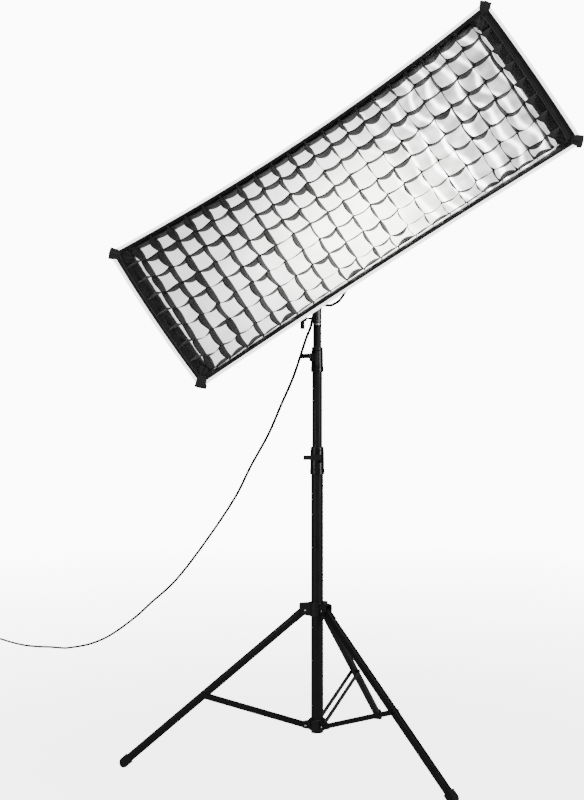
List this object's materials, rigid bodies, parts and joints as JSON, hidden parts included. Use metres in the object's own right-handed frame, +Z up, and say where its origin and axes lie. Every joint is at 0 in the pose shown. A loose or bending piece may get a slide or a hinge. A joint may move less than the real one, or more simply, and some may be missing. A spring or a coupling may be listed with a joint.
{
  "type": "studio softbox on a stand",
  "caption": "Rectangular strip softbox with a fabric grid on a lamp head, held by a side bracket on a folding, telescopic tripod stand, with its mains lead.",
  "frame": {"origin": "on the floor, under the centre of the box round the stand, the lamp and the softbox, without the mains lead", "axes": "+Z up the stand's tubes; -Y the way the softbox looks; +X to the right of someone who faces the softbox"},
  "size_m": [2.1497, 2.5429, 2.0697],
  "materials": {
    "black_paint": "satin black powder coat",
    "black_cast": "cast, satin black paint",
    "black_plastic": "moulded, fine grain",
    "rubber": "moulded rubber",
    "steel": "bright plated steel",
    "grey_alloy": "dark grey anodised",
    "reflector": "bright spun aluminium",
    "black_cloth": "woven black nylon",
    "diffuser_cloth": "white translucent cloth",
    "housing": "dark grey textured paint",
    "led_yellow": "phosphor under a clear resin",
    "cable": "smooth flexible sheath"
  },
  "bodies": {
    "stand_base": {"lower_tube": "black_paint", "spreader_hub": "black_cast", "lower_collar": "black_cast", "lead_lower": "cable", "lead_coil": "cable", "mains_plug": "rubber"},
    "lower_lever": {"lower_collar_lever": "black_plastic"},
    "leg_hub": {"leg_hub": "black_cast"},
    "hub_knob": {"hub_lock_knob": "black_plastic"},
    "leg_left": {"leg_left": "black_paint", "foot_left": "rubber"},
    "leg_right": {"leg_right": "black_paint", "foot_right": "rubber"},
    "leg_back": {"leg_back": "black_paint", "foot_back": "rubber"},
    "brace_left": {"brace_left_a": "black_paint", "brace_left_b": "black_paint"},
    "brace_right": {"brace_right_a": "black_paint", "brace_right_b": "black_paint"},
    "brace_back": {"brace_back_a": "black_paint", "brace_back_b": "black_paint"},
    "middle_column": {"middle_tube": "black_paint", "upper_collar": "black_cast"},
    "upper_lever": {"upper_collar_lever": "black_plastic"},
    "top_column": {"top_tube": "black_paint", "stud": "steel", "lead_upper": "cable"},
    "bracket": {"bracket_socket": "grey_alloy", "bracket_arm": "grey_alloy", "lead_at_socket": "cable"},
    "socket_handle": {"socket_lock_handle": "black_plastic"},
    "tilt_lever": {"tilt_lock_lever": "black_plastic"},
    "lamp": {"front_housing": "housing", "rear_housing": "housing", "mount_collar": "grey_alloy", "led_module": "led_yellow", "reflector_cup": "reflector", "carry_handle": "black_plastic", "rear_panel": "black_plastic", "lead_connector": "rubber", "mount_insert": "grey_alloy", "lead_to_lamp": "cable"},
    "dial": {"control_dial": "black_plastic"},
    "switch": {"power_switch": "rubber"},
    "button": {"mode_button": "rubber"},
    "softbox": {"speed_ring": "grey_alloy", "fabric_shell": "black_cloth", "rod_a": "steel", "rod_b": "steel", "rod_c": "steel", "rod_d": "steel", "mouth_band": "black_cloth", "front_diffuser": "diffuser_cloth", "inner_baffle": "diffuser_cloth", "egg_crate_grid": "black_cloth", "corner_pocket_a": "black_cloth", "corner_pocket_b": "black_cloth", "corner_pocket_c": "black_cloth", "corner_pocket_d": "black_cloth"},
    "ring_knob": {"ring_lock_knob": "black_plastic"}
  },
  "joints": [
    {"name": "hub_slide", "type": "slide", "parent": "stand_base", "child": "leg_hub", "axis": [0, 0, 1], "range_m": [0, 0.347]},
    {"name": "hub_knob_turn", "type": "hinge", "parent": "leg_hub", "child": "hub_knob", "pos_m": [-0.0579, -0.0378, 0.43], "axis": [-0.6157, 0.788, 0], "continuous": true},
    {"name": "leg_left_fold", "type": "hinge", "parent": "leg_hub", "child": "leg_left", "pos_m": [-0.09454, -0.04295, 0.43], "axis": [0.1392, -0.9903, 0], "range_deg": [0, 47.9]},
    {"name": "leg_right_fold", "type": "hinge", "parent": "leg_hub", "child": "leg_right", "pos_m": [-0.03512, -0.06696, 0.43], "axis": [0.788, 0.6157, 0], "range_deg": [0, 47.9]},
    {"name": "leg_back_fold", "type": "hinge", "parent": "leg_hub", "child": "leg_back", "pos_m": [-0.04404, -0.00349, 0.43], "axis": [-0.9272, 0.3746, 0], "range_deg": [0, 47.9]},
    {"name": "brace_left_fold", "type": "hinge", "parent": "stand_base", "child": "brace_left", "pos_m": [-0.09454, -0.04295, 0.102], "axis": [0.1392, -0.9903, 0], "range_deg": [-68.8, 0]},
    {"name": "brace_right_fold", "type": "hinge", "parent": "stand_base", "child": "brace_right", "pos_m": [-0.03512, -0.06696, 0.102], "axis": [0.788, 0.6157, 0], "range_deg": [-68.8, 0]},
    {"name": "brace_back_fold", "type": "hinge", "parent": "stand_base", "child": "brace_back", "pos_m": [-0.04404, -0.00349, 0.102], "axis": [-0.9272, 0.3746, 0], "range_deg": [-68.8, 0]},
    {"name": "middle_slide", "type": "slide", "parent": "stand_base", "child": "middle_column", "axis": [0, 0, 1], "range_m": [-0.212, 0.33], "deforming": ["lead_lower"]},
    {"name": "top_slide", "type": "slide", "parent": "middle_column", "child": "top_column", "axis": [0, 0, 1], "range_m": [-0.06, 0.48], "deforming": ["lead_upper"]},
    {"name": "lower_lever_flip", "type": "hinge", "parent": "stand_base", "child": "lower_lever", "pos_m": [-0.05243, -0.07672, 0.865], "axis": [0, 0, 1], "range_deg": [0, 120]},
    {"name": "upper_lever_flip", "type": "hinge", "parent": "middle_column", "child": "upper_lever", "pos_m": [-0.08037, -0.06656, 1.153], "axis": [0, 0, 1], "range_deg": [0, 120]},
    {"name": "head_pan", "type": "hinge", "parent": "top_column", "child": "bracket", "pos_m": [-0.0579, -0.0378, 1.286], "axis": [0, 0, 1], "range_deg": [-120, 120], "deforming": ["lead_at_socket"]},
    {"name": "socket_handle_turn", "type": "hinge", "parent": "bracket", "child": "socket_handle", "pos_m": [-0.0579, -0.0378, 1.261], "axis": [0.9975, -0.071, 0], "continuous": true},
    {"name": "lamp_tilt", "type": "hinge", "parent": "bracket", "child": "lamp", "pos_m": [0.0211, -0.04342, 1.568], "axis": [0.9975, -0.071, 0], "range_deg": [-60, 12], "deforming": ["lead_to_lamp"]},
    {"name": "tilt_lever_turn", "type": "hinge", "parent": "bracket", "child": "tilt_lever", "pos_m": [-0.0579, -0.0378, 1.568], "axis": [0.9975, -0.071, 0], "continuous": true},
    {"name": "dial_turn", "type": "hinge", "parent": "lamp", "child": "dial", "pos_m": [0.06012, 0.1104, 1.589], "axis": [0.071, 0.9975, 0], "continuous": true},
    {"name": "switch_rock", "type": "hinge", "parent": "lamp", "child": "switch", "pos_m": [-0.00127, 0.11416, 1.542], "axis": [0.9975, -0.071, 0], "range_deg": [-16, 0]},
    {"name": "button_press", "type": "slide", "parent": "lamp", "child": "button", "axis": [-0.071, -0.9975, 0], "range_m": [0, 0.0012], "stiffness_N_per_m": 400},
    {"name": "softbox_roll", "type": "hinge", "parent": "lamp", "child": "softbox", "pos_m": [0.01684, -0.10327, 1.568], "axis": [0.071, 0.9975, 0], "continuous": true},
    {"name": "ring_knob_turn", "type": "hinge", "parent": "softbox", "child": "ring_knob", "pos_m": [0.01688, -0.10277, 1.568], "axis": [-0.5405, 0.0385, 0.8405], "continuous": true}
  ],
  "couplings": [
    {"joint": "leg_left_fold", "follows": "hub_slide", "rad_per_m": 2.4019},
    {"joint": "leg_right_fold", "follows": "hub_slide", "rad_per_m": 2.4019},
    {"joint": "leg_back_fold", "follows": "hub_slide", "rad_per_m": 2.4019},
    {"joint": "brace_left_fold", "follows": "hub_slide", "rad_per_m": -3.449},
    {"joint": "brace_right_fold", "follows": "hub_slide", "rad_per_m": -3.449},
    {"joint": "brace_back_fold", "follows": "hub_slide", "rad_per_m": -3.449}
  ]
}
